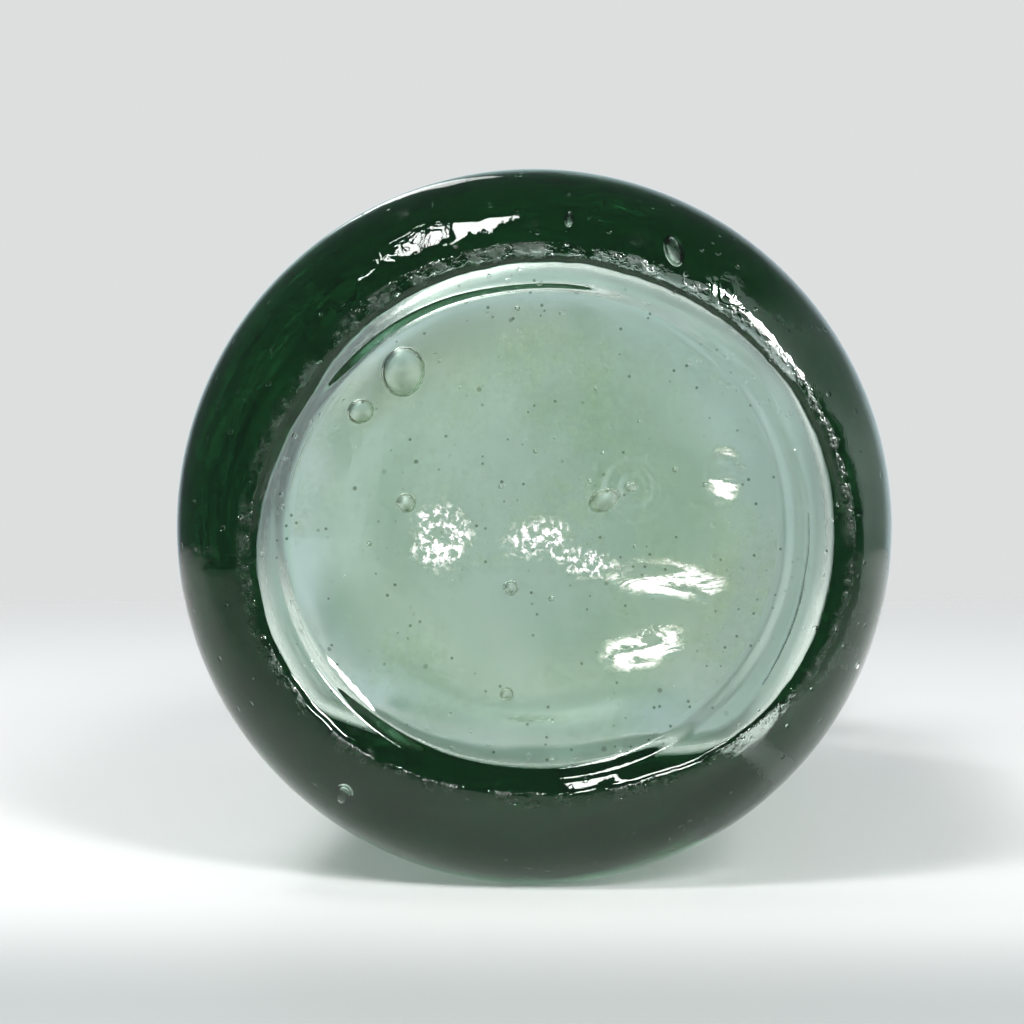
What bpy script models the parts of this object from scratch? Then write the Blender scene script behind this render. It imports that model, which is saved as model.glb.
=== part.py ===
"""Glass soda bottle with a marble stopper, lying on its side.

The bottle's axis lies along +Y: the base looks towards -Y and the mouth towards +Y.  The origin is on
the surface it lies on, under the middle of its length.  Sizes are in metres.
"""

from math import cos, pi, sin

import bmesh
import bpy
from mathutils import Vector

# Driving dimensions.  A station is a distance along the axis from the base's bearing ring.
HEIGHT = 0.230
BODY_RADIUS = 0.030
BODY_WALL = 0.0054
BORE_RADIUS = 0.0076
MARBLE_RADIUS = 0.0080
GAP = 0.0003
SIDES = 32

# Base: a bearing ring around a pushed-up panel, and the domed floor above it.
RING_INNER, RING_OUTER, RING_EASE = 0.0230, 0.0245, 0.0003
HEEL_RISE = 0.0075
PANEL_RADIUS, PANEL_RISE, PANEL_CROWN = 0.0200, 0.0020, 0.0010
FLOOR_STATION, FLOOR_CROWN, FLOOR_CORNER = 0.0042, 0.0034, 0.0026

# Shoulder, waist and marble chamber.
SHOULDER_START, SHOULDER_END = 0.122, 0.158
WAIST_RADIUS, WAIST_BORE, WAIST_END = 0.0150, 0.0095, 0.168
CHAMBER_RADIUS, CHAMBER_BORE = 0.0178, 0.0115
CHAMBER_START, CHAMBER_END = 0.177, 0.190
NECK_RADIUS, NECK_BORE, NECK_STATION = 0.0145, 0.0090, 0.206

# Crimps that narrow the waist from two sides, and lugs that hold the marble back when pouring.
CRIMP_STATION, CRIMP_DEPTH, CRIMP_REACH, CRIMP_ANGLE = 0.163, 0.0050, 0.0055, 0.60
LUG_STATION, LUG_DEPTH, LUG_REACH, LUG_ANGLE = 0.175, 0.0022, 0.0042, 0.24
LUG_HALF_SPREAD = 0.42

# Lip with the groove that holds the sealing ring, and the ledge under it.
LIP_RADIUS, LIP_START, LIP_ROUND = 0.0157, 0.209, 0.0030
LIP_FLAT_INNER, LIP_BEVEL = 0.0092, 0.0016
GROOVE_RADIUS, GROOVE_STATION, GROOVE_HALF, GROOVE_SLOPE = 0.0096, 0.2195, 0.0022, 0.0006
LEDGE_BORE, LEDGE_LENGTH = 0.0085, 0.0040
SEAL_RADIUS, SEAL_SECTION = 0.0077, 0.0016

# Where the inside of the neck starts and ends its curves, against the outside.
NECK_SHIFT, WAIST_SHIFT, SHOULDER_SHIFT = 0.003, 0.002, 0.004

# Flats of a many-sided bottle sit at its true radius, so its corners stand a little further out.
CORNER = 1 / cos(pi / SIDES)
SHARP_ANGLE = 0.7
BASE_Y = -HEIGHT / 2
AXIS_Z = BODY_RADIUS

# The marble rests on the chamber's lower wall, and seals where it meets the ring.
MARBLE_REST_STATION = 0.181
MARBLE_REST_DROP = CHAMBER_BORE - MARBLE_RADIUS - GAP


def clear_scene():
    for obj in list(bpy.data.objects):
        bpy.data.objects.remove(obj, do_unlink=True)


def glassy(name, colour, roughness, transmission=0.0):
    """Material with the part's colour; transmission is 1 for clear glass."""
    material = bpy.data.materials.new(name)
    material.use_nodes = True
    shader = material.node_tree.nodes["Principled BSDF"]
    shader.inputs["Base Color"].default_value = (*colour, 1.0)
    shader.inputs["Roughness"].default_value = roughness
    shader.inputs["Metallic"].default_value = 0.0
    shader.inputs["Transmission Weight"].default_value = transmission
    material.diffuse_color = (*colour, 1.0)
    return material


def arc(centre, radii, start, end, steps):
    """Points of a part of an ellipse, as (radius, station); angles in quarter turns from outwards."""
    points = []
    for i in range(steps + 1):
        angle = (start + (end - start) * i / steps) * pi / 2
        points.append((centre[0] + radii[0] * cos(angle), centre[1] + radii[1] * sin(angle)))
    return points


def ease(start, end, steps):
    """Points of an S-shaped run from start to end, level at both ends."""
    points = []
    for i in range(1, steps + 1):
        share = i / steps
        radius = start[0] + (end[0] - start[0]) * (1 - cos(pi * share)) / 2
        points.append((radius, start[1] + (end[1] - start[1]) * share))
    return points


def ease_down(start, end, steps):
    """Points of a run that is level at both ends, as seen along the bottle's radius."""
    points = []
    for i in range(1, steps + 1):
        share = i / steps
        station = start[1] + (end[1] - start[1]) * (1 - cos(pi * share)) / 2
        points.append((start[0] + (end[0] - start[0]) * share, station))
    return points


def base_outline():
    """Underside, from the middle of the panel to the top of the heel."""
    points = []
    for share in (0.0, 0.35, 0.7, 1.0):
        points.append((PANEL_RADIUS * share, PANEL_RISE + PANEL_CROWN * (1 - share**2)))
    points += ease_down(points[-1], (RING_INNER - RING_EASE, RING_EASE), 4)
    points.append((RING_INNER, 0.0))
    heel = arc((RING_OUTER, HEEL_RISE), (BODY_RADIUS - RING_OUTER, HEEL_RISE), -1, 0, 6)
    return points + heel


def outer_outline():
    """Outside, from the start of the shoulder to the lip's flat top."""
    points = [(BODY_RADIUS, SHOULDER_START)]
    points += ease(points[-1], (WAIST_RADIUS, SHOULDER_END), 8)
    points += [(WAIST_RADIUS, CRIMP_STATION), (WAIST_RADIUS, WAIST_END)]
    points += ease(points[-1], (CHAMBER_RADIUS, CHAMBER_START), 4)
    points += [(CHAMBER_RADIUS, CHAMBER_END)]
    points += ease(points[-1], (NECK_RADIUS, NECK_STATION), 5)
    points += ease(points[-1], (LIP_RADIUS, LIP_START), 2)
    points += arc((LIP_RADIUS - LIP_ROUND, HEIGHT - LIP_ROUND), (LIP_ROUND, LIP_ROUND), 0, 1, 4)
    return points


def inner_outline():
    """Inside, from the lip's flat top down to the middle of the bottle's floor."""
    groove_top, groove_low = GROOVE_STATION + GROOVE_HALF, GROOVE_STATION - GROOVE_HALF
    points = [(LIP_FLAT_INNER, HEIGHT), (BORE_RADIUS, HEIGHT - LIP_BEVEL)]
    points += [(BORE_RADIUS, groove_top + GROOVE_SLOPE), (GROOVE_RADIUS, groove_top)]
    points += [(GROOVE_RADIUS, groove_low), (LEDGE_BORE, groove_low - GROOVE_SLOPE)]
    points += [(NECK_BORE, groove_low - LEDGE_LENGTH), (NECK_BORE, NECK_STATION + NECK_SHIFT)]
    points += ease(points[-1], (CHAMBER_BORE, CHAMBER_END), 5)
    points += [(CHAMBER_BORE, CHAMBER_START)]
    points += ease(points[-1], (WAIST_BORE, WAIST_END - WAIST_SHIFT), 4)
    points += [(WAIST_BORE, CRIMP_STATION), (WAIST_BORE, SHOULDER_END + WAIST_SHIFT)]
    wall = BODY_RADIUS - BODY_WALL
    points += ease(points[-1], (wall, SHOULDER_START - SHOULDER_SHIFT), 8)
    corner = (wall - FLOOR_CORNER, FLOOR_STATION + FLOOR_CORNER)
    points += arc(corner, (FLOOR_CORNER, FLOOR_CORNER), 0, -1, 4)
    for share in (0.75, 0.5, 0.25, 0.0):
        points.append((corner[0] * share, FLOOR_STATION + FLOOR_CROWN * (1 - share**2)))
    return points


def bell(distance, reach):
    """Smooth bump: 1 at distance 0, falling to 0 at twice its reach."""
    share = min(abs(distance) / (2 * reach), 1.0)
    return (1 + cos(pi * share)) / 2


def dent(station, direction):
    """How far the crimps and the lugs push the wall inwards; direction is a unit vector around the axis."""
    depth = 0.0
    for side in (Vector((1, 0)), Vector((-1, 0))):
        around = direction.angle(side)
        depth += CRIMP_DEPTH * bell(station - CRIMP_STATION, CRIMP_REACH) * bell(around, CRIMP_ANGLE)
    for turn in (-LUG_HALF_SPREAD, LUG_HALF_SPREAD):
        around = direction.angle(Vector((sin(turn), cos(turn))))
        depth += LUG_DEPTH * bell(station - LUG_STATION, LUG_REACH) * bell(around, LUG_ANGLE)
    return depth


def turned(name, outline, sides, closed):
    """Object turned around the Y axis from an outline of (radius, station), with a flat facing down."""
    mesh = bmesh.new()
    turn = pi / sides
    verts = []
    for radius, station in outline:
        verts.append(mesh.verts.new((radius * cos(turn), station, radius * sin(turn))))
    ends = verts[1:] + verts[:1] if closed else verts[1:]
    edges = [mesh.edges.new(pair) for pair in zip(verts, ends)]
    bmesh.ops.spin(
        mesh,
        geom=verts + edges,
        cent=(0, 0, 0),
        axis=(0, 1, 0),
        angle=2 * pi,
        steps=sides,
    )
    bmesh.ops.remove_doubles(mesh, verts=mesh.verts, dist=1e-6)
    bmesh.ops.recalc_face_normals(mesh, faces=mesh.faces)
    data = bpy.data.meshes.new(name)
    mesh.to_mesh(data)
    mesh.free()
    obj = bpy.data.objects.new(name, data)
    bpy.context.collection.objects.link(obj)
    return obj


def finish(obj, material):
    obj.data.materials.append(material)
    obj.data.shade_smooth()
    obj.data.set_sharp_from_angle(angle=SHARP_ANGLE)
    return obj


def make_bottle():
    """Thick green glass body with its base, shoulder, crimped waist, marble chamber and lip."""
    outline = base_outline() + outer_outline() + inner_outline()
    bottle = turned("bottle_glass", [(r * CORNER, s) for r, s in outline], SIDES, closed=False)
    for vertex in bottle.data.vertices:
        around = Vector((vertex.co.x, vertex.co.z))
        if vertex.co.y < SHOULDER_START or around.length < 1e-6:
            continue
        around -= around.normalized() * dent(vertex.co.y, around.normalized()) * CORNER
        vertex.co = (around.x, vertex.co.y, around.y)
    bottle.location = (0, BASE_Y, AXIS_Z)
    return finish(bottle, glassy("bottle_green_glass", (0.45, 0.68, 0.52), 0.05, 1.0))


def make_seal():
    """Rubber ring that sits in the lip's groove."""
    section = arc((SEAL_RADIUS, 0.0), (SEAL_SECTION, SEAL_SECTION), 0, 3.6, 9)
    seal = turned("sealing_ring", section, SIDES, closed=True)
    seal.location = (0, BASE_Y + GROOVE_STATION, AXIS_Z)
    return finish(seal, glassy("seal_rubber", (0.035, 0.030, 0.028), 0.75))


def make_marble():
    """Glass marble, with its origin at its centre, which runs on the joint's line."""
    mesh = bmesh.new()
    bmesh.ops.create_icosphere(mesh, subdivisions=3, radius=MARBLE_RADIUS)
    data = bpy.data.meshes.new("glass_marble")
    mesh.to_mesh(data)
    mesh.free()
    marble = bpy.data.objects.new("glass_marble", data)
    bpy.context.collection.objects.link(marble)
    marble.location = (0, BASE_Y + MARBLE_REST_STATION, AXIS_Z - MARBLE_REST_DROP)
    return finish(marble, glassy("marble_glass", (0.62, 0.80, 0.70), 0.04, 1.0))


def main():
    clear_scene()
    make_bottle()
    make_seal()
    make_marble()


main()
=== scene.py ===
"""Looks of the glass soda bottle: blown green glass lying on its side, with its marble and sealing ring."""

import random
from math import atan2, cos, hypot, pi, radians, sin

import bpy
from mathutils import Matrix, Vector, noise


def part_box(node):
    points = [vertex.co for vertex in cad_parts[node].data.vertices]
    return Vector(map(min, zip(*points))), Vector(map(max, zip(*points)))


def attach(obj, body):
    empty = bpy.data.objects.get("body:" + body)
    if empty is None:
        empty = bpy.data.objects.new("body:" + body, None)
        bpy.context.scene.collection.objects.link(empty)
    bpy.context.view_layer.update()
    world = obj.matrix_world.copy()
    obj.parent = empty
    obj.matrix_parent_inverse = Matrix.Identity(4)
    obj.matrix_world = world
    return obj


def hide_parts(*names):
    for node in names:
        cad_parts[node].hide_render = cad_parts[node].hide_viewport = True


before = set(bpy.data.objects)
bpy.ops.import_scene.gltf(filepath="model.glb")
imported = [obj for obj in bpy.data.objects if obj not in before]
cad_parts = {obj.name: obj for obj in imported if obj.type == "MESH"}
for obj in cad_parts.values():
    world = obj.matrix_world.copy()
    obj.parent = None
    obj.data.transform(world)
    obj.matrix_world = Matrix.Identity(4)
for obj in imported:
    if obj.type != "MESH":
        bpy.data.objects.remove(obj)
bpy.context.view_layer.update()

MM = 0.001

# ---------------------------------------------------------------- places and sizes, from the frame

GLASS_LOW, GLASS_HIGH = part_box("bottle_glass")
MARBLE_LOW, MARBLE_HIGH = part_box("glass_marble")
SEAL_LOW, SEAL_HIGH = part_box("sealing_ring")
HEIGHT = GLASS_HIGH.y - GLASS_LOW.y
BODY_RADIUS = (GLASS_HIGH.x - GLASS_LOW.x) / 2
BASE_Y = GLASS_LOW.y
AXIS_Z = (GLASS_LOW.z + GLASS_HIGH.z) / 2
AXIS = Vector((0, 0, AXIS_Z))
MARBLE_CENTRE = (MARBLE_LOW + MARBLE_HIGH) / 2
MARBLE_RADIUS = (MARBLE_HIGH.x - MARBLE_LOW.x) / 2
SEAL_STATION = (SEAL_LOW.y + SEAL_HIGH.y) / 2 - BASE_Y
SEAL_OUTER = (SEAL_HIGH.x - SEAL_LOW.x) / 2
SEAL_HALF = (SEAL_HIGH.y - SEAL_LOW.y) / 2

# The underside, in millimetres: its pushed-up disc, its bearing ring, and how the step between them runs.
DISC_RADIUS, PANEL_RISE, PANEL_CROWN = 19.8, 2.2, 0.9
RECESS_RADIUS, EDGE_RISE, EDGE_WIDTH = 22.9, 0.25, 0.5
STEP_WIDTH, STEP_LOW, STEP_DROP = 1.5, 0.6, 0.8
LOW_FOLD, HIGH_FOLD = radians(216), radians(106)
THICK_SIDE, THICK_HALF, EXTRA_THICK = radians(265), 0.95, 2.6

# Stations along the bottle and radii around its axis.
WALL = 5.4 * MM
HEEL_RISE = 7.5 * MM
FLOOR_STATION, FLOOR_CROWN, FLOOR_CORNER = 4.4 * MM, 4.2 * MM, 2.2 * MM
SHOULDER_START, SHOULDER_END = 122 * MM, 158 * MM
WAIST_RADIUS, WAIST_BORE, WAIST_END = 15.0 * MM, 9.5 * MM, 168 * MM
CHAMBER_RADIUS, CHAMBER_BORE = 17.8 * MM, 11.5 * MM
CHAMBER_START, CHAMBER_END = 177 * MM, 190 * MM
NECK_RADIUS, NECK_BORE, NECK_STATION = 14.5 * MM, 9.0 * MM, 206 * MM
CRIMP_STATION, CRIMP_DEPTH, CRIMP_REACH, CRIMP_ANGLE = 163 * MM, 5.0 * MM, 5.5 * MM, 0.60
LUG_STATION, LUG_DEPTH, LUG_REACH, LUG_ANGLE = 175 * MM, 2.2 * MM, 4.2 * MM, 0.24
LUG_HALF_SPREAD = 0.42
LIP_RADIUS, LIP_START, LIP_ROUND = 15.7 * MM, 209 * MM, 3.0 * MM
LIP_FLAT_INNER, LIP_BEVEL, BORE_RADIUS = 9.2 * MM, 1.6 * MM, 7.6 * MM
GROOVE_RADIUS, GROOVE_HALF, GROOVE_SLOPE = 9.6 * MM, 2.2 * MM, 0.6 * MM
LEDGE_BORE, LEDGE_LENGTH = 8.5 * MM, 4.0 * MM
NECK_SHIFT, WAIST_SHIFT, SHOULDER_SHIFT = 3 * MM, 2 * MM, 4 * MM

AROUND = 256          # steps around the bottle
DISC_ROWS, STEP_ROWS, SLOPE_ROWS, EDGE_ROWS, HEEL_ROWS = 14, 8, 8, 6, 24


# ---------------------------------------------------------------- outline of the bottle

def arc(centre, radii, start, end, rows):
    """Points (radius, station) of a part of an ellipse; angles in quarter turns from outwards."""
    points = []
    for i in range(rows + 1):
        angle = (start + (end - start) * i / rows) * pi / 2
        points.append((centre[0] + radii[0] * cos(angle), centre[1] + radii[1] * sin(angle)))
    return points


def ease(start, end, rows):
    """Points of an S-shaped run from start to end, level at both ends."""
    points = []
    for i in range(1, rows + 1):
        share = i / rows
        radius = start[0] + (end[0] - start[0]) * (1 - cos(pi * share)) / 2
        points.append((radius, start[1] + (end[1] - start[1]) * share))
    return points


def run(start, end, rows):
    """Evenly spaced points of a straight run, without its start."""
    points = []
    for i in range(1, rows + 1):
        share = i / rows
        points.append((start[0] + (end[0] - start[0]) * share, start[1] + (end[1] - start[1]) * share))
    return points


def smooth(share):
    share = min(max(share, 0.0), 1.0)
    return share * share * (3 - 2 * share)


# The base was pressed by hand, so its edges wander: radii in millimetres at an angle around the axis.

def wander(a):
    """How far the pressed recess, and the hollow above it, stray from round."""
    stray = 1.34 * cos(a) - 0.18 * sin(a) + 1.20 * cos(2 * a) + 0.23 * sin(2 * a)
    return stray + 0.21 * cos(3 * a) - 0.41 * sin(3 * a)


def edge_radius(a):
    """Where the bearing ring ends and the recess begins."""
    ragged = noise.noise(Vector((3.2 * cos(a), 3.2 * sin(a), 0.0))) * 0.16
    ragged += noise.noise(Vector((9 * cos(a), 9 * sin(a), 4.0))) * 0.12
    ragged += noise.noise(Vector((24 * cos(a), 24 * sin(a), 8.0))) * 0.14
    return RECESS_RADIUS + wander(a) + ragged


def disc_radius(a):
    """Edge of the pushed-up middle of the base."""
    stray = 0.51 * cos(a) - 0.14 * sin(a) + 0.47 * cos(2 * a) + 0.11 * sin(2 * a)
    return DISC_RADIUS + stray + noise.noise(Vector((2.6 * cos(a), 2.6 * sin(a), 9.0))) * 0.15


def turn_between(a, b):
    return abs((a - b + pi) % (2 * pi) - pi)


def fold_share(a):
    """Where the glass folded as the base was pushed up: 1 in the middle of a fold, 0 away from it."""
    low = smooth((0.62 - turn_between(a, LOW_FOLD)) / 0.40)
    high = smooth((0.80 - turn_between(a, HIGH_FOLD)) / 0.40)
    return max(low, high)


def hollow_stray(a):
    """How far the hollow inside strays: it follows the recess, but the glass is thick along the bottom."""
    bottom = smooth((THICK_HALF - turn_between(a, THICK_SIDE)) / 0.45)
    narrow = 0.72 - 0.25 * cos(a) + 0.33 * sin(a)
    return min(wander(a), 1.3) - max(EXTRA_THICK * bottom, narrow)


def underside(row, a):
    """Radius and station, in millimetres, of a row of the underside; rows count from the middle."""
    edge, disc = edge_radius(a), disc_radius(a)
    fold = fold_share(a)
    disc += 0.2 * fold
    step = min(disc + STEP_WIDTH - 0.6 * fold, edge - 0.3)
    rise = STEP_LOW - 0.1 * fold
    depth = rise + STEP_DROP + 1.1 * fold
    if row <= DISC_ROWS:
        share = row / DISC_ROWS
        crown = PANEL_RISE + PANEL_CROWN * (1 - share**2)
        return disc * share, crown + (depth - PANEL_RISE) * smooth(share * 3 - 2)
    row -= DISC_ROWS
    if row <= STEP_ROWS:
        share = row / STEP_ROWS
        return disc + (step - disc) * share, depth + (rise - depth) * smooth(share)
    row -= STEP_ROWS
    if row <= SLOPE_ROWS:
        share = row / SLOPE_ROWS
        return step + (edge - step) * share, rise + (EDGE_RISE - rise) * share
    row -= SLOPE_ROWS
    if row <= EDGE_ROWS:
        share = row / EDGE_ROWS
        return edge + EDGE_WIDTH * share, EDGE_RISE * (1 - share) ** 2
    turn = (row - EDGE_ROWS) / HEEL_ROWS * pi / 2
    start = edge + EDGE_WIDTH
    return start + (BODY_RADIUS / MM - start) * sin(turn), HEEL_RISE / MM * (1 - cos(turn))


UNDER_ROWS = DISC_ROWS + STEP_ROWS + SLOPE_ROWS + EDGE_ROWS + HEEL_ROWS


def underside_outline():
    """A plain outline with one point for each row, which shape_underside then moves."""
    return [(BODY_RADIUS * i / UNDER_ROWS, 0.0) for i in range(UNDER_ROWS + 1)]


def outer_outline():
    points = run((BODY_RADIUS, HEEL_RISE), (BODY_RADIUS, SHOULDER_START), 22)
    points += ease(points[-1], (WAIST_RADIUS, SHOULDER_END), 20)
    points += run(points[-1], (WAIST_RADIUS, WAIST_END), 8)
    points += ease(points[-1], (CHAMBER_RADIUS, CHAMBER_START), 8)
    points += run(points[-1], (CHAMBER_RADIUS, CHAMBER_END), 7)
    points += ease(points[-1], (NECK_RADIUS, NECK_STATION), 10)
    points += ease(points[-1], (LIP_RADIUS, LIP_START), 5)
    points += run(points[-1], (LIP_RADIUS, HEIGHT - LIP_ROUND), 6)
    points += arc((LIP_RADIUS - LIP_ROUND, HEIGHT - LIP_ROUND), (LIP_ROUND, LIP_ROUND), 0, 1, 8)[1:]
    return points


def inner_outline():
    top, low = SEAL_STATION + GROOVE_HALF, SEAL_STATION - GROOVE_HALF
    points = run((LIP_RADIUS - LIP_ROUND, HEIGHT), (LIP_FLAT_INNER, HEIGHT), 3)
    points += arc((LIP_FLAT_INNER, HEIGHT - LIP_BEVEL), (-LIP_BEVEL, LIP_BEVEL), 1, 0, 5)[1:]
    points += [(BORE_RADIUS, top + GROOVE_SLOPE), (GROOVE_RADIUS, top), (GROOVE_RADIUS, low)]
    points += [(LEDGE_BORE, low - GROOVE_SLOPE), (NECK_BORE, low - LEDGE_LENGTH)]
    points += [(NECK_BORE, NECK_STATION + NECK_SHIFT)]
    points += ease(points[-1], (CHAMBER_BORE, CHAMBER_END), 10)
    points += run(points[-1], (CHAMBER_BORE, CHAMBER_START), 7)
    points += ease(points[-1], (WAIST_BORE, WAIST_END - WAIST_SHIFT), 8)
    points += run(points[-1], (WAIST_BORE, SHOULDER_END + WAIST_SHIFT), 5)
    wall = BODY_RADIUS - WALL
    points += ease(points[-1], (wall, SHOULDER_START - SHOULDER_SHIFT), 20)
    points += run(points[-1], (wall, FLOOR_STATION + FLOOR_CORNER), 22)
    corner = (wall - FLOOR_CORNER, FLOOR_STATION + FLOOR_CORNER)
    points += arc(corner, (FLOOR_CORNER, FLOOR_CORNER), 0, -1, 10)[1:]
    fine = [1 - i * 0.011 for i in range(1, 25)]
    coarse = [fine[-1] * (1 - i / 12) for i in range(1, 13)]
    for share in fine + coarse:
        points.append((corner[0] * share, FLOOR_STATION + FLOOR_CROWN * (1 - share**2)))
    return points


# ---------------------------------------------------------------- modelling steps

def along(radius, station):
    """Place in the upright plane through the axis, at an angle of zero (towards +X)."""
    return Vector((radius, BASE_Y + station, AXIS_Z))


def deselect():
    if bpy.context.object and bpy.context.object.mode != "OBJECT":
        bpy.ops.object.mode_set(mode="OBJECT")
    bpy.ops.object.select_all(action="DESELECT")


def apply_place(obj):
    deselect()
    obj.select_set(True)
    bpy.context.view_layer.objects.active = obj
    bpy.ops.object.transform_apply(location=True, rotation=True, scale=True)


def turned(name, outline, steps, closed=False):
    """Extrudes a point along an outline of (radius, station), then spins it around the bottle's axis."""
    deselect()
    first = along(*outline[0])
    bpy.ops.mesh.primitive_plane_add(size=MM, location=first)
    obj = bpy.context.object
    obj.name = name
    obj.data.name = name
    bpy.ops.object.mode_set(mode="EDIT")
    bpy.ops.mesh.select_all(action="SELECT")
    bpy.ops.mesh.merge(type="CENTER")
    last = first
    for radius, station in outline[1:] + (outline[:1] if closed else []):
        place = along(radius, station)
        bpy.ops.mesh.extrude_vertices_move(TRANSFORM_OT_translate={"value": place - last})
        last = place
    bpy.ops.mesh.select_all(action="SELECT")
    bpy.ops.mesh.spin(steps=steps, angle=2 * pi, center=AXIS, axis=(0, 1, 0))
    bpy.ops.mesh.select_all(action="SELECT")
    bpy.ops.mesh.remove_doubles(threshold=1e-6)
    bpy.ops.mesh.normals_make_consistent(inside=False)
    bpy.ops.object.mode_set(mode="OBJECT")
    apply_place(obj)
    return obj


def polar(co):
    """Radius, station and angle of a place around the bottle's axis."""
    return hypot(co.x, co.z - AXIS_Z), co.y - BASE_Y, atan2(co.z - AXIS_Z, co.x)


def from_polar(radius, station, angle):
    return Vector((radius * cos(angle), BASE_Y + station, AXIS_Z + radius * sin(angle)))


# ---------------------------------------------------------------- bottle glass

FILM = 0.02 * MM    # thickness of the film of dried residue and painted highlights


def disc_surface(row, angle, share=1.0):
    """A place on a row of the underside, with the slight ripple that its disc has."""
    radius, station = underside(row, angle)
    place = from_polar(radius * share * MM, 0.0, angle)
    ripple = noise.noise(place * 90) * 0.22 + noise.noise(place * 260) * 0.06
    calm = smooth((24 - radius) / 4)
    place.y += (station + ripple * calm) * MM
    return place


def shape_underside(obj):
    """Gives each row of the underside its hand-pressed radius and depth."""
    row_step = BODY_RADIUS / UNDER_ROWS
    for vertex in obj.data.vertices:
        radius, station, angle = polar(vertex.co)
        if station < 1e-6:
            vertex.co = disc_surface(round(radius / row_step), angle)


def bell(distance, reach):
    """Smooth bump: 1 at distance 0, falling to 0 at twice its reach."""
    share = min(abs(distance) / (2 * reach), 1.0)
    return (1 + cos(pi * share)) / 2


def dent(station, angle):
    """How far the crimps and the lugs push the wall of the neck inwards."""
    depth = 0.0
    for side in (0.0, pi):
        around = turn_between(angle, side)
        depth += CRIMP_DEPTH * bell(station - CRIMP_STATION, CRIMP_REACH) * bell(around, CRIMP_ANGLE)
    for side in (-LUG_HALF_SPREAD, LUG_HALF_SPREAD):
        around = turn_between(angle, pi / 2 + side)
        depth += LUG_DEPTH * bell(station - LUG_STATION, LUG_REACH) * bell(around, LUG_ANGLE)
    return depth


def shape_neck(obj):
    for vertex in obj.data.vertices:
        radius, station, angle = polar(vertex.co)
        if station > SHOULDER_END - 8 * MM:
            vertex.co = from_polar(radius - dent(station, angle), station, angle)


def rough_floor(co, radius, station, angle):
    """Place of a point of the hollow's floor, which strays sideways and is uneven in height."""
    wall = BODY_RADIUS - WALL
    stray = hollow_stray(angle) * 0.95 * smooth(radius / wall * 3 - 1.7)
    lift = noise.noise(co * 70 + Vector((5, 0, 0))) * 0.5
    lift += noise.noise(co * 190) * 0.12
    return from_polar(radius + stray * MM, station + lift * MM, angle)


def rough_hollow(around, radius, station, angle):
    """Place of a point of the hollow's wall, whose thickness varies."""
    place = around * 1.3 + Vector((0, 0, station * 45))
    fine = around * 2.5 + Vector((0, 7, station * 120))
    thin = noise.noise(place) * 0.45 + noise.noise(fine) * 0.15
    fade = smooth((station - FLOOR_STATION) / (12 * MM))
    stray = hollow_stray(angle) * 0.95 * smooth((85 * MM - station) / (60 * MM))
    return from_polar(radius + (thin * fade + stray) * MM, station, angle)


def rough_outside(around, radius, station, angle):
    place = around * 2.2 + Vector((3, 0, station * 60))
    dip = (noise.noise(place) + 1) * 0.09 * smooth((station - HEEL_RISE) / (8 * MM))
    return from_polar(radius - dip * MM, station, angle)


def wobble_glass(obj):
    """Unevenness of blown glass: the inside wanders most, the outside only dips a little from true."""
    wall = BODY_RADIUS - WALL
    for vertex in obj.data.vertices:
        radius, station, angle = polar(vertex.co)
        around = Vector((cos(angle), sin(angle), 0))
        inside = radius < wall + 0.5 * MM and FLOOR_STATION - 0.1 * MM < station < SHOULDER_START
        if radius < 1e-5 or (station < HEEL_RISE and not inside):
            continue
        if inside and radius < wall - FLOOR_CORNER - 0.1 * MM:
            vertex.co = rough_floor(vertex.co, radius, station, angle)
        elif inside:
            vertex.co = rough_hollow(around, radius, station, angle)
        elif station < NECK_STATION:
            vertex.co = rough_outside(around, radius, station, angle)


# Seeds: gas bubbles caught in the glass.  Each is (x, height above the axis, width, height, length along
# the bottle, tilt in degrees), in millimetres.
BASE_SEEDS = (
    (-10.6, 13.0, 3.7, 4.3, 1.7, 12),
    (-14.2, 9.7, 2.3, 2.0, 1.1, -20),
    (-10.4, 2.1, 1.7, 1.7, 1.2, 0),
    (6.1, 2.3, 2.8, 1.9, 1.4, -24),
    (8.3, 3.4, 1.0, 0.7, 0.8, 5),
    (-1.7, -5.0, 1.35, 1.35, 1.2, 0),
    (-2.0, -13.9, 1.2, 1.2, 1.0, 0),
    (-15.2, -21.7, 1.7, 1.9, 1.6, 0),
    (26.8, -11.2, 0.8, 0.9, 0.8, 0),
    (11.7, 22.5, 1.5, 2.6, 1.6, -25),
    (3.2, 25.1, 0.8, 1.3, 1.0, 0),
)


WALL_SEED_COUNT = 60
HEEL_MIDDLE = 3.6    # station half way through the glass of the heel, in millimetres


def glass_middle(radius):
    """Station half way through the glass of the base, at a radius; both in millimetres."""
    if radius > DISC_RADIUS:
        return HEEL_MIDDLE
    low = PANEL_RISE + PANEL_CROWN * (1 - (radius / DISC_RADIUS) ** 2)
    high = FLOOR_STATION / MM + FLOOR_CROWN / MM * (1 - (radius / DISC_RADIUS) ** 2)
    return (low + high) / 2


def add_seed(place, size, tilt, detail):
    """An egg-shaped cavity, with its faces turned to look into it."""
    deselect()
    bpy.ops.mesh.primitive_ico_sphere_add(subdivisions=detail, radius=0.5, location=place)
    seed = bpy.context.object
    bpy.ops.object.mode_set(mode="EDIT")
    bpy.ops.mesh.select_all(action="SELECT")
    bpy.ops.transform.resize(value=size, center_override=place)
    bpy.ops.mesh.flip_normals()
    bpy.ops.object.mode_set(mode="OBJECT")
    apply_place(seed)
    turn = Matrix.Rotation(tilt, 4, "Y")
    for vertex in seed.data.vertices:
        vertex.co = place + turn @ (vertex.co - place)
    return seed


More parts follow.
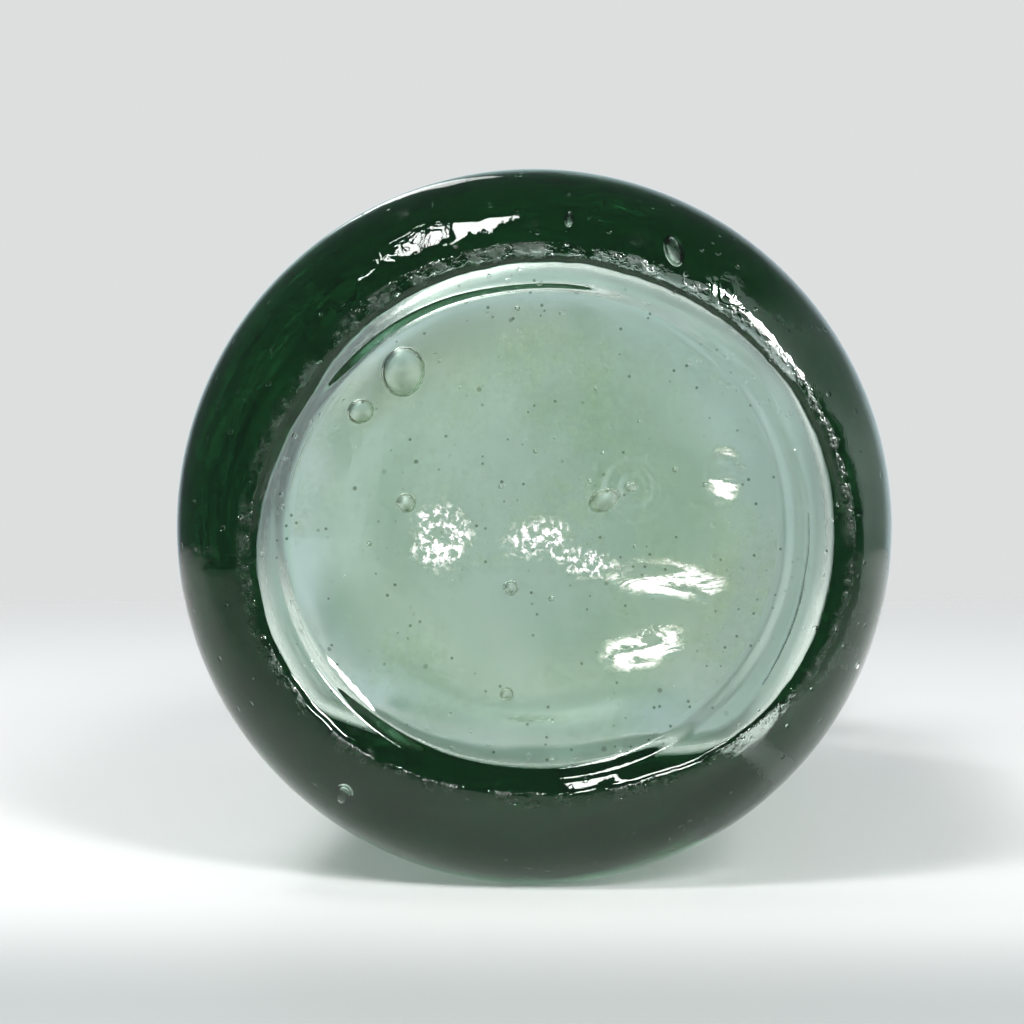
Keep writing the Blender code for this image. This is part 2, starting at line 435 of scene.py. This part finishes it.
def base_seeds():
    seeds = []
    for x, z, width, tall, length, tilt in BASE_SEEDS:
        place = Vector((x * MM, BASE_Y + glass_middle(hypot(x, z)) * MM, AXIS_Z + z * MM))
        size = Vector((width, length, tall)) * MM
        seeds.append(add_seed(place, size, radians(tilt), 4 if width > 1.6 else 3))
    return seeds


def wall_seeds(count, rng):
    """Small seeds through the wall of the body and in the base, drawn long by the blowing."""
    seeds = []
    for i in range(count):
        angle = rng.uniform(0, 2 * pi)
        size = rng.uniform(0.25, 0.9) * MM
        if i % 3 == 0:
            radius = rng.uniform(2, 19)
            place = from_polar(radius * MM, (glass_middle(radius) + rng.uniform(-0.8, 0.8)) * MM, angle)
            stretch = Vector((1, 0.8, 1)) * size * 0.7
        else:
            station = rng.uniform(14, 118) * MM
            place = from_polar(BODY_RADIUS - WALL * rng.uniform(0.35, 0.6), station, angle)
            stretch = Vector((0.8, rng.uniform(1.2, 2.6), 0.8)) * size
        seeds.append(add_seed(place, stretch, 0.0, 2))
    return seeds


def join(main, others):
    deselect()
    for obj in others:
        obj.select_set(True)
    main.select_set(True)
    bpy.context.view_layer.objects.active = main
    bpy.ops.object.join()


def shade(obj, degrees):
    deselect()
    obj.select_set(True)
    bpy.context.view_layer.objects.active = obj
    bpy.ops.object.shade_smooth_by_angle(angle=radians(degrees))


def make_film():
    """Thin chalky film on the pushed-up disc of the base: dried residue, and white smears that are painted
    highlights.
    """
    reach = DISC_RADIUS * MM * 0.99
    rows = [reach * i / DISC_ROWS for i in range(DISC_ROWS + 1)]
    outline = [(radius, 0.0) for radius in rows] + [(radius, FILM) for radius in rows[::-1]]
    film = turned("mineral_film_and_painted_highlights", outline, AROUND)
    for vertex in film.data.vertices:
        radius, station, angle = polar(vertex.co)
        vertex.co = disc_surface(round(radius / reach * DISC_ROWS), angle, 0.985)
        vertex.co.y -= 3 * FILM - station
    shade(film, 60)
    film.data.materials.append(chalky_film_and_highlights())
    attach(film, "bottle")


def make_bottle(rng):
    outline = underside_outline() + outer_outline() + inner_outline()
    glass = turned("blown_green_bottle", outline, AROUND)
    shape_underside(glass)
    shape_neck(glass)
    wobble_glass(glass)
    join(glass, base_seeds() + wall_seeds(WALL_SEED_COUNT, rng))
    shade(glass, 50)
    glass.data.materials.clear()
    glass.data.materials.append(green_glass())
    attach(glass, "bottle")
    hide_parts("bottle_glass")


# ---------------------------------------------------------------- marble and sealing ring

def make_marble(rng):
    """Pressed glass marble: a little out of round, with a flattened scar and a few seeds."""
    deselect()
    radius = MARBLE_RADIUS - 0.03 * MM
    bpy.ops.mesh.primitive_ico_sphere_add(subdivisions=6, radius=radius, location=MARBLE_CENTRE)
    marble = bpy.context.object
    marble.name = "stopper_marble"
    apply_place(marble)
    scar = Vector((0.3, -0.5, 0.8)).normalized()
    for vertex in marble.data.vertices:
        out = (vertex.co - MARBLE_CENTRE).normalized()
        dip = (noise.noise(out * 2.0) + 1) * 0.05 + 0.18 * smooth((out.dot(scar) - 0.955) / 0.03)
        vertex.co -= out * dip * MM
    seeds = []
    for i in range(9):
        way = Vector([rng.uniform(-1, 1) for axis in range(3)]).normalized()
        place = MARBLE_CENTRE + way * rng.uniform(1.5, 5.8) * MM
        seeds.append(add_seed(place, Vector((1, 1, 1)) * rng.uniform(0.25, 0.6) * MM, 0.0, 2))
    join(marble, seeds)
    shade(marble, 60)
    marble.data.materials.clear()
    marble.data.materials.append(marble_glass())
    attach(marble, "marble")
    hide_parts("glass_marble")


SEAL_STEPS = 28    # steps around the ring's section


def seal_outline():
    """Moulded ring: rounded towards the marble, flatter in the groove, with a thin flash line."""
    points = []
    middle, half = SEAL_OUTER - SEAL_HALF, SEAL_HALF * 0.97
    for i in range(SEAL_STEPS):
        angle = 2 * pi * i / SEAL_STEPS
        flash = 0.045 if i == SEAL_STEPS // 2 else 0
        swell = 1 - 0.07 * max(cos(angle), 0) ** 6 + flash
        points.append((middle + half * swell * cos(angle), SEAL_STATION + half * sin(angle)))
    return points


def make_seal():
    ring = turned("rubber_lip_seal", seal_outline(), 128, closed=True)
    for vertex in ring.data.vertices:
        radius, station, angle = polar(vertex.co)
        worn = noise.noise(Vector((4 * cos(angle), 4 * sin(angle), station * 300))) * 0.05 * MM
        vertex.co = from_polar(radius - abs(worn), station, angle)
    shade(ring, 40)
    ring.data.materials.clear()
    ring.data.materials.append(seal_rubber())
    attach(ring, "bottle")
    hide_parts("sealing_ring")


# ---------------------------------------------------------------- shader maths

class Flow:
    """A number flowing through a material; arithmetic on it adds Math nodes."""

    def __init__(self, recipe, socket):
        self.recipe, self.socket = recipe, socket

    def maths(self, operation, *others, first=None):
        node = self.recipe.tree.nodes.new("ShaderNodeMath")
        node.operation = operation
        values = [self, *others] if first is None else [first, self]
        for slot, value in zip(node.inputs, values):
            self.recipe.feed(slot, value)
        return Flow(self.recipe, node.outputs[0])

    def __add__(self, other):
        return self.maths("ADD", other)

    def __radd__(self, other):
        return self.maths("ADD", other)

    def __sub__(self, other):
        return self.maths("SUBTRACT", other)

    def __rsub__(self, other):
        return self.maths("SUBTRACT", first=other)

    def __mul__(self, other):
        return self.maths("MULTIPLY", other)

    def __rmul__(self, other):
        return self.maths("MULTIPLY", other)

    def __pow__(self, other):
        return self.maths("POWER", other)

    def over(self, low, high):
        """0 below low, 1 above high, smooth between."""
        inputs = {"Value": self, "From Min": low, "From Max": high}
        return self.recipe.node("ShaderNodeMapRange", {"interpolation_type": "SMOOTHSTEP"}, inputs)

    def under(self, low, high):
        return 1 - self.over(low, high)


class Recipe:
    """Builds one material from nodes."""

    def __init__(self, name):
        self.material = bpy.data.materials.new(name)
        self.material.use_nodes = True
        self.tree = self.material.node_tree
        self.tree.nodes.clear()
        self.place = self.node("ShaderNodeTexCoord", output="Object")

    def feed(self, slot, value):
        if isinstance(value, Flow):
            self.tree.links.new(value.socket, slot)
        elif isinstance(value, (tuple, list)) and len(value) == 3 and slot.type == "RGBA":
            slot.default_value = (*value, 1.0)
        else:
            slot.default_value = value

    def node(self, kind, settings=None, inputs=None, output=0):
        """Adds a node; settings are its own properties, inputs its sockets' values or links."""
        node = self.tree.nodes.new(kind)
        for name, value in (settings or {}).items():
            setattr(node, name, value)
        for name, value in (inputs or {}).items():
            self.feed(node.inputs[name], value)
        return Flow(self, node.outputs[output])

    def grain(self, scale, detail=3.0, roughness=0.55, distortion=0.0, place=None):
        inputs = {"Vector": place or self.place, "Scale": scale, "Detail": detail}
        inputs.update({"Roughness": roughness, "Distortion": distortion})
        return self.node("ShaderNodeTexNoise", None, inputs)

    def specks(self, scale, size):
        """1 in small scattered dots, 0 elsewhere."""
        inputs = {"Vector": self.place, "Scale": scale, "Randomness": 1.0}
        return self.node("ShaderNodeTexVoronoi", None, inputs, "Distance").under(size * 0.6, size)

    def blend(self, share, low, high):
        """Colour between low and high."""
        node = self.tree.nodes.new("ShaderNodeMix")
        node.data_type = "RGBA"
        self.feed(node.inputs[0], share)
        self.feed(node.inputs[6], low)
        self.feed(node.inputs[7], high)
        return Flow(self, node.outputs[2])

    def parts(self):
        """x, y and z of a point of the object."""
        node = self.tree.nodes.new("ShaderNodeSeparateXYZ")
        self.feed(node.inputs[0], self.place)
        return [Flow(self, out) for out in node.outputs]

    def stretched(self, scale):
        return self.node("ShaderNodeMapping", None, {"Vector": self.place, "Scale": scale})

    def bump(self, height, distance, strength=1.0):
        inputs = {"Height": height, "Distance": distance, "Strength": strength}
        return self.node("ShaderNodeBump", None, inputs)

    def surface(self, inputs):
        shader = self.node("ShaderNodeBsdfPrincipled", None, inputs)
        self.out = self.tree.nodes.new("ShaderNodeOutputMaterial")
        self.tree.links.new(shader.socket, self.out.inputs["Surface"])

    def depth_colour(self, colour, density):
        inputs = {"Color": colour, "Density": density}
        volume = self.node("ShaderNodeVolumeAbsorption", None, inputs)
        self.tree.links.new(volume.socket, self.out.inputs["Volume"])


# ---------------------------------------------------------------- finishes

GLASS_IOR = 1.52

# Marks on the base: x, height above the axis, half length, half height (in millimetres), tilt in degrees.
CRUST = ((0.6, -0.9, 3.4, 2.0, 5), (-7.4, -0.6, 3.0, 3.2, 0), (5.2, -3.0, 3.2, 1.4, -12))
# White smears on the base are painted highlights: they stand in for the left window's reflection.
HIGHLIGHT_SMEARS = ((11.2, -4.2, 5.6, 1.8, -6), (9.3, -9.9, 4.2, 1.7, 14), (16.0, 4.5, 1.6, 2.6, 0))
CHILL_RINGS, CHILL_SPACING = (8.5, 3.4), 1.35 * MM
WRINKLES = ((16.2, 18.9, 2.6, 1.8, -42), (-9.7, 23.6, 4.4, 1.7, 20))


def patch(x, z, marks, grain):
    """1 inside any of the oval marks, with ragged edges, 0 outside."""
    found = 0.0
    for across, up, long, tall, tilt in marks:
        turn = radians(tilt)
        dx, dz = x - across * MM, z - (AXIS_Z + up * MM)
        along_mark = (dx * cos(turn) + dz * sin(turn)) * (1 / (long * MM))
        over_mark = (dz * cos(turn) - dx * sin(turn)) * (1 / (tall * MM))
        size = (along_mark * along_mark + over_mark * over_mark) ** 0.5 + (grain - 0.5) * 1.1
        found = size.under(0.55, 1.05) + found
    return found


def base_height(mix, x, y, z, highlight_smear, bearing):
    """Bump of the base: grain where the painted highlight smears lie, ripples around a chill mark, and the
    worn bearing ring.
    """
    ring_x, ring_z = x - CHILL_RINGS[0] * MM, z - (AXIS_Z + CHILL_RINGS[1] * MM)
    ring_far = (ring_x * ring_x + ring_z * ring_z) ** 0.5
    waves = (ring_far * (2 * pi / CHILL_SPACING)).maths("COSINE")
    rings = on_underside(x, y, z) * ring_far.under(1.5 * MM, 4.2 * MM) * waves
    return highlight_smear * mix.grain(420, 3, 0.55) * 1.3 + rings * 0.12 + bearing * mix.grain(1800, 3) * 0.25


def from_axis(x, z):
    """Distance from the bottle's axis."""
    return (x * x + (z - AXIS_Z) * (z - AXIS_Z)) ** 0.5


def on_underside(x, y, z):
    """1 on the recessed disc of the base, 0 elsewhere."""
    return y.under(BASE_Y + 3.2 * MM, BASE_Y + 3.5 * MM) * from_axis(x, z).under(20 * MM, 23 * MM)


def on_floor(x, y, z):
    """1 on the floor of the hollow, 0 elsewhere."""
    low = y.over(BASE_Y + 3.6 * MM, BASE_Y + 4.0 * MM)
    return low * y.under(BASE_Y + 11 * MM, BASE_Y + 14 * MM) * from_axis(x, z).under(25.2 * MM, 25.8 * MM)


def green_glass():
    """Old green soda glass: deep green through its length, worn on the ring it stood on."""
    mix = Recipe("seedy green soda glass")
    x, y, z = mix.parts()
    near_base = y.under(BASE_Y + 1.5 * MM, BASE_Y + 9 * MM)
    swirl, fine, pits = mix.grain(55, 4, 0.5, 0.6), mix.grain(900, 2), mix.specks(520, 0.13)
    scratch = mix.grain(60, 3, 0.6, 0.2, mix.stretched((14, 1, 1.2)))
    dirt = mix.specks(300, 0.085) * mix.grain(40).over(0.45, 0.6)
    soot = on_underside(x, y, z) * mix.specks(950, 0.16) * mix.grain(170, 2).over(0.46, 0.52)
    worn = near_base * mix.grain(320, 4, 0.7).over(0.55, 0.75)
    highlight_smear = on_underside(x, y, z) * patch(x, z, HIGHLIGHT_SMEARS, mix.grain(420, 4, 0.65))
    wrinkled = patch(x, z, WRINKLES, mix.grain(300, 3, 0.6)) * mix.grain(620, 2, 0.5, 1.5)
    bearing = y.under(BASE_Y + 0.02 * MM, BASE_Y + 0.12 * MM) * mix.grain(520, 4, 0.7).over(0.42, 0.62)
    stain = on_floor(x, y, z) * (0.26 + 0.16 * mix.grain(70, 2, 0.5).over(0.3, 0.7))
    ripple = y.under(BASE_Y + 3 * MM, BASE_Y + 7 * MM) * mix.grain(230, 3, 0.6) * 0.20
    height = swirl * 0.5 + fine * 0.02 * near_base - pits * 0.25 * near_base + scratch * 0.04
    height = height + base_height(mix, x, y, z, highlight_smear, bearing) + ripple + wrinkled * 0.35
    mix.surface({
        "Base Color": mix.blend(dirt + soot, (0.97, 1.0, 0.975), (0.10, 0.13, 0.10)),
        "Roughness": 0.012 + worn * 0.16 + dirt * 0.3 + stain + bearing * 0.3,
        "IOR": GLASS_IOR,
        "Transmission Weight": 1.0,
        "Normal": mix.bump(height, 0.0006, 0.5),
    })
    mix.depth_colour((0.20, 0.54, 0.31), 29.0)
    return mix.material


def chalky_film_and_highlights():
    """Dried film with painted highlights: white crusts in a few places, white smears painted where the left
    window's reflection falls, thin blotchy dust elsewhere.
    """
    mix = Recipe("chalky film and painted highlights")
    x, y, z = mix.parts()
    ragged = mix.grain(420, 4, 0.65)
    crumbs = mix.grain(1500, 5, 0.75).over(0.47, 0.56)
    highlight_streaks = mix.grain(330, 4, 0.65, 1.2, mix.stretched((0.6, 1.0, 1.7))).over(0.46, 0.56)
    crust = patch(x, z, CRUST, ragged) * crumbs
    # Painted highlight: white smears where the left window's reflection falls on the base.
    highlight_smear = patch(x, z, HIGHLIGHT_SMEARS, ragged) * highlight_streaks
    outwards = from_axis(x, z)
    dust = (0.03 + outwards.over(4 * MM, 13 * MM) * 0.07) * outwards.under(15.5 * MM, 19 * MM)
    bloom = mix.grain(110, 4, 0.6, 0.4).over(0.42, 0.68)
    bloom = bloom * (0.3 + 0.7 * mix.grain(900, 3, 0.7).over(0.4, 0.6))
    mix.surface({
        "Base Color": mix.blend(crust + highlight_smear, (0.17, 0.27, 0.11), (1.0, 1.0, 1.0)),
        "Roughness": 0.35 + ragged * 0.3,
        "Alpha": (crust * 0.6 + highlight_smear * 0.95 + bloom * 0.13 + dust).maths("MINIMUM", 0.95),
        "Normal": mix.bump(crumbs + ragged, 0.0001, 0.7),
    })
    return mix.material


def marble_glass():
    """Paler glass than the bottle's, with a faint swirl and small scuffs."""
    mix = Recipe("pale green marble glass")
    swirl = mix.grain(160, 3, 0.5, 1.5)
    scuffs = mix.grain(1400, 3, 0.7).over(0.6, 0.72)
    tint = mix.blend(swirl.over(0.4, 0.7), (0.96, 1.0, 0.97), (0.86, 0.97, 0.92))
    mix.surface({
        "Base Color": tint,
        "Roughness": 0.01 + scuffs * 0.12,
        "IOR": GLASS_IOR,
        "Transmission Weight": 1.0,
        "Normal": mix.bump(swirl * 0.4 + scuffs * 0.2, 0.0002, 0.4),
    })
    mix.depth_colour((0.30, 0.78, 0.58), 60.0)
    return mix.material


def seal_rubber():
    """Black rubber with fine cracks, paler where it has dried out."""
    mix = Recipe("aged black seal rubber")
    grain = mix.grain(2600, 5, 0.65)
    inputs = {"Vector": mix.place, "Scale": 700.0}
    split = mix.node("ShaderNodeTexVoronoi", {"feature": "DISTANCE_TO_EDGE"}, inputs).under(0.01, 0.07)
    chalk = mix.grain(500, 4).over(0.5, 0.7)
    mix.surface({
        "Base Color": mix.blend(chalk * 0.6, (0.020, 0.018, 0.017), (0.085, 0.078, 0.07)),
        "Roughness": 0.62 + chalk * 0.25 + split * 0.1,
        "Normal": mix.bump(grain * 0.5 - split, 0.0001, 0.8),
    })
    return mix.material


SHADED_FRONT_TONE, LIT_BACK_TONE = (0.37, 0.39, 0.385), (0.74, 0.752, 0.748)    # of the table


def pale_floor():
    """Matt pale table top that fades into the background far from the bottle; painted shade makes it darker
    towards the camera.
    """
    mix = Recipe("matt pale table")
    x, y, z = mix.parts()
    far = (x * x + y * y) ** 0.5
    # Painted shade: the table's colour darkens towards the camera.
    backwards = y.over(BASE_Y - 60 * MM, BASE_Y + 10 * MM)
    mix.surface({
        "Base Color": mix.blend(backwards, SHADED_FRONT_TONE, LIT_BACK_TONE),
        "Roughness": 0.55 + mix.grain(6, 3) * 0.1,
        "Alpha": far.under(0.18, 0.62),
        "Normal": mix.bump(mix.grain(1500, 2), 0.0001, 0.15),
    })
    return mix.material


# ---------------------------------------------------------------- stage, light and camera

TABLE_RADIUS, TABLE_DROP = 0.65, 0.1 * MM


def make_floor():
    deselect()
    place = (0, 0, -TABLE_DROP)
    bpy.ops.mesh.primitive_circle_add(vertices=128, radius=TABLE_RADIUS, fill_type="NGON", location=place)
    floor = bpy.context.object
    floor.name = "table_top"
    bpy.ops.object.mode_set(mode="EDIT")
    bpy.ops.mesh.select_all(action="SELECT")
    bpy.ops.mesh.inset(thickness=0.3)
    bpy.ops.object.mode_set(mode="OBJECT")
    apply_place(floor)
    floor.data.materials.append(pale_floor())


BACKDROP = 0.74    # brightness of the pale background


AROUND_TINT = (0.975, 1.0, 0.995, 1.0)
MIRRORED_TINT = (0.84, 1.0, 1.10, 1.0)
ROOM, CEILING = 0.15, 0.16    # brightness of the room in mirror reflections, and of the dark ceiling


class World:
    """Builds the studio's background from nodes."""

    def __init__(self, name):
        world = bpy.data.worlds.new(name)
        bpy.context.scene.world = world
        world.use_nodes = True
        self.tree = world.node_tree
        self.tree.nodes.clear()

    def add(self, kind, **settings):
        node = self.tree.nodes.new(kind)
        for name, value in settings.items():
            setattr(node, name, value)
        return node

    def ramp(self, value, start, end, low, high):
        node = self.add("ShaderNodeMapRange", interpolation_type="SMOOTHSTEP")
        self.tree.links.new(value, node.inputs["Value"])
        for name, number in (("From Min", start), ("From Max", end), ("To Min", low), ("To Max", high)):
            node.inputs[name].default_value = number
        return node.outputs[0]

    def either(self, share, low, high):
        """Value low where the share is 0, high where it is 1; high is a number or a socket."""
        node = self.add("ShaderNodeMix", data_type="FLOAT")
        self.tree.links.new(share, node.inputs[0])
        self.tree.links.new(low, node.inputs[2])
        if isinstance(high, float):
            node.inputs[3].default_value = high
        else:
            self.tree.links.new(high, node.inputs[3])
        return node.outputs[0]


def make_world():
    """Pale background all round, a darker ceiling, and a dim room in the glass's mirror reflections."""
    world = World("pale studio")
    way = world.add("ShaderNodeTexCoord")
    split = world.add("ShaderNodeSeparateXYZ")
    world.tree.links.new(way.outputs["Generated"], split.inputs[0])
    mirrored = world.ramp(split.outputs["Y"], 0.70, 0.97, ROOM, BACKDROP)
    around = world.ramp(split.outputs["Z"], 0.30, 0.72, BACKDROP, CEILING)
    path = world.add("ShaderNodeLightPath")
    room = world.either(path.outputs["Is Glossy Ray"], around, mirrored)
    seen = world.either(path.outputs["Is Camera Ray"], room, BACKDROP)
    sky = world.add("ShaderNodeBackground")
    tint = world.add("ShaderNodeMix", data_type="RGBA")
    world.tree.links.new(path.outputs["Is Glossy Ray"], tint.inputs[0])
    tint.inputs[6].default_value = AROUND_TINT
    tint.inputs[7].default_value = MIRRORED_TINT
    world.tree.links.new(tint.outputs[2], sky.inputs["Color"])
    world.tree.links.new(seen, sky.inputs["Strength"])
    out = world.add("ShaderNodeOutputWorld")
    world.tree.links.new(sky.outputs[0], out.inputs["Surface"])


def add_lamp(name, aim, offset, size, power):
    """Rectangular lamp at an offset in metres from the place that it looks at."""
    data = bpy.data.lights.new(name, "AREA")
    data.shape = "RECTANGLE"
    data.size, data.size_y = size
    data.energy = power
    lamp = bpy.data.objects.new(name, data)
    lamp.location = aim + Vector(offset)
    lamp.rotation_euler = (aim - lamp.location).to_track_quat("-Z", "Y").to_euler()
    bpy.context.scene.collection.objects.link(lamp)
    return lamp


def make_lights():
    """Soft light from above, and two windows in front that show as highlights on the base."""
    middle, front = Vector((0, 0, AXIS_Z)), Vector((0, BASE_Y, AXIS_Z))
    tube = add_lamp("overhead_tube", middle, (-0.50, 0.12, 1.10), (0.34, 0.16), 2.3)
    ceiling = add_lamp("soft_ceiling", middle, (0.0, 0.35, 1.25), (1.6, 1.2), 5.6)
    card = add_lamp("fill_card", middle, (1.1, 0.35, 0.45), (0.8, 0.6), 1.8)
    ceiling.data.use_shadow = False
    for lamp in (tube, ceiling, card):
        lamp.visible_glossy = False
    softbox = add_lamp("rear_softbox", middle, (-0.40, 1.35, 1.0), (0.22, 0.9), 1.8)
    softbox.visible_diffuse = False
    left = add_lamp("window_left", front, (-0.278, -0.67, 0.689), (0.26, 0.38), 7.5)
    right = add_lamp("window_right", front, (0.34, -0.85, 0.405), (0.14, 0.26), 10.0)
    for lamp in (left, right):
        lamp.visible_transmission = False


CAMERA_DISTANCE = 300 * MM
SIGHT = Vector((16 * MM, 0, 7 * MM))     # camera's place beside the bottle's axis
AIM = Vector((-1.31 * MM, 0, 1.4 * MM))  # point of the base plane in the middle of the view
LENS = 129.0


def make_camera():
    data = bpy.data.cameras.new("camera")
    data.sensor_width = 36
    data.lens = LENS
    data.clip_start, data.clip_end = 0.01, 20
    camera = bpy.data.objects.new("camera", data)
    base = Vector((0, BASE_Y, AXIS_Z))
    camera.location = base + SIGHT - Vector((0, CAMERA_DISTANCE, 0))
    camera.rotation_euler = (base + AIM - camera.location).to_track_quat("-Z", "Y").to_euler()
    bpy.context.scene.collection.objects.link(camera)
    bpy.context.scene.camera = camera


def set_light_paths():
    """Glass walls, seeds and marble stack many surfaces, so light needs many bounces."""
    scene = bpy.context.scene
    scene.view_settings.view_transform = "Standard"
    scene.cycles.max_bounces = 40
    scene.cycles.transmission_bounces = 40
    scene.cycles.glossy_bounces = 24
    scene.cycles.transparent_max_bounces = 16
    scene.cycles.sample_clamp_indirect = 0


def main():
    rng = random.Random(7)
    make_camera()
    make_bottle(rng)
    make_film()
    make_marble(rng)
    make_seal()
    make_floor()
    make_world()
    make_lights()
    set_light_paths()


main()
